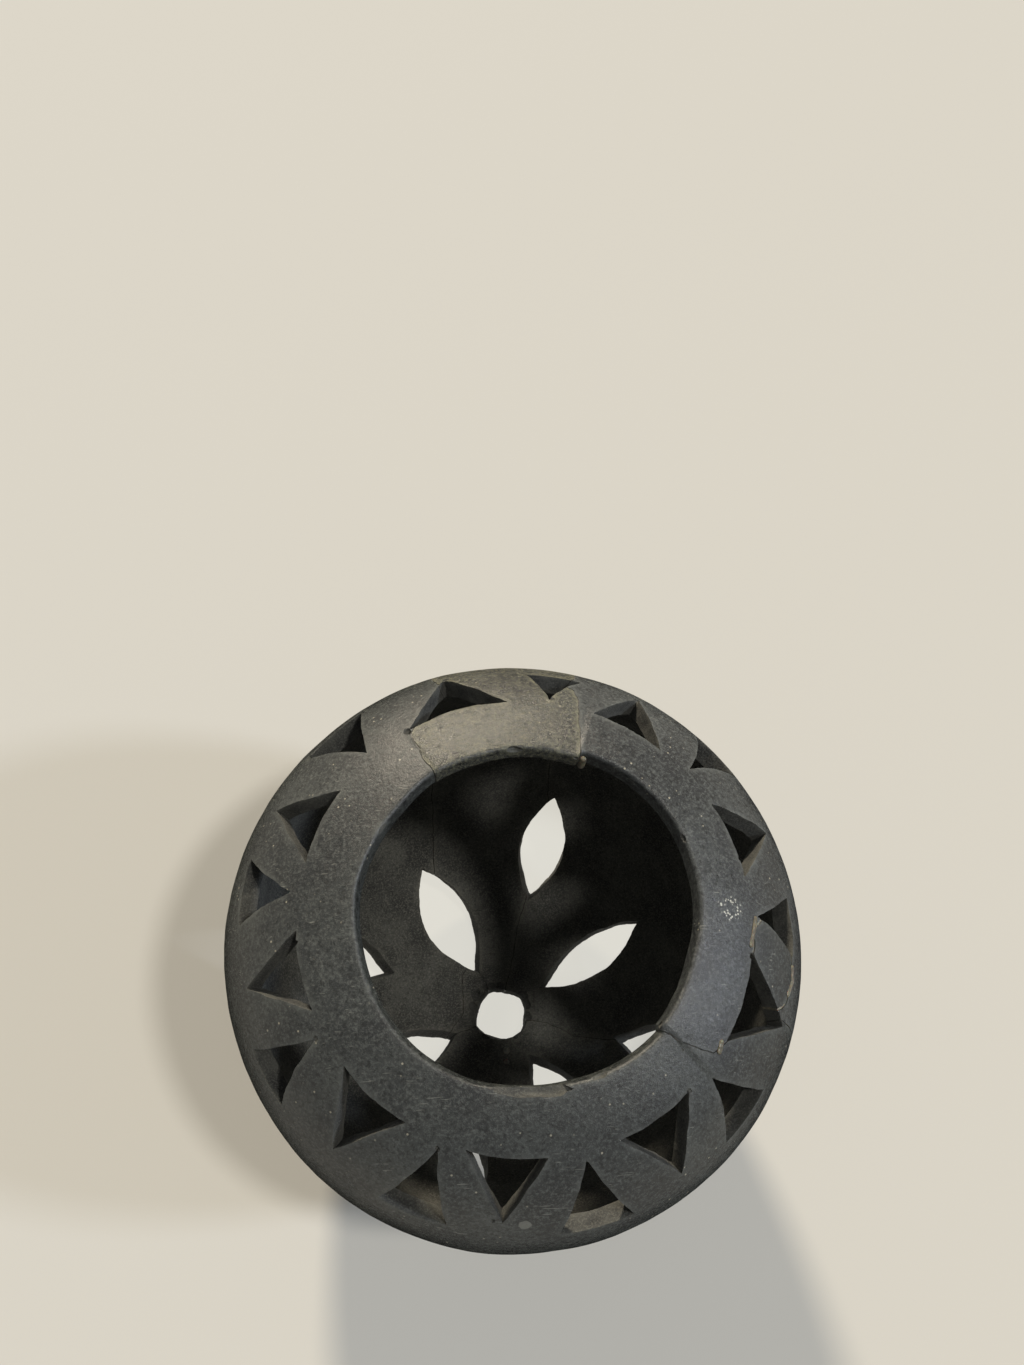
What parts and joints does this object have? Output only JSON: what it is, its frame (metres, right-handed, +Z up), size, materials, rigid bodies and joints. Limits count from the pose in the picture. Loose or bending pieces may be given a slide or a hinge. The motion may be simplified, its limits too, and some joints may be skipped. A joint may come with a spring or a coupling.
{
  "type": "openwork clay pot",
  "caption": "Round black clay pot with a wide mouth, pierced shoulder, leaf openings in the base and a central hole; broken and glued together again.",
  "frame": {"origin": "on the mouth's axis, at the plane that the pot rests on", "axes": "+Z up along the mouth's axis; -Y towards the side that faces the viewer"},
  "size_m": [0.254, 0.254, 0.201],
  "materials": {
    "burnished_black_clay": "satin, burnished outside and matt inside",
    "clear_cement": "cloudy yellowish adhesive"
  },
  "bodies": {
    "root": {"base_sherd": "burnished_black_clay", "glue_bead_rim_corner": "clear_cement", "glue_bead_strut_foot": "clear_cement", "glue_bead_strut_top": "clear_cement", "glue_drop_lip": "clear_cement", "glue_film_base_back": "clear_cement", "glue_film_base_left": "clear_cement", "glue_film_base_right": "clear_cement", "glue_film_base_sherd": "clear_cement", "glue_film_belly_back": "clear_cement", "glue_film_belly_left": "clear_cement", "glue_film_belly_right": "clear_cement", "glue_film_rim_back": "clear_cement", "glue_film_rim_left": "clear_cement", "glue_film_rim_right": "clear_cement", "glue_film_strut_foot": "clear_cement", "glue_film_strut_top": "clear_cement", "glue_spots_inside": "clear_cement", "rim_sherd_back": "burnished_black_clay", "strut_sherd": "burnished_black_clay", "wall_sherd_left": "burnished_black_clay", "wall_sherd_right": "burnished_black_clay"}
  },
  "joints": []
}
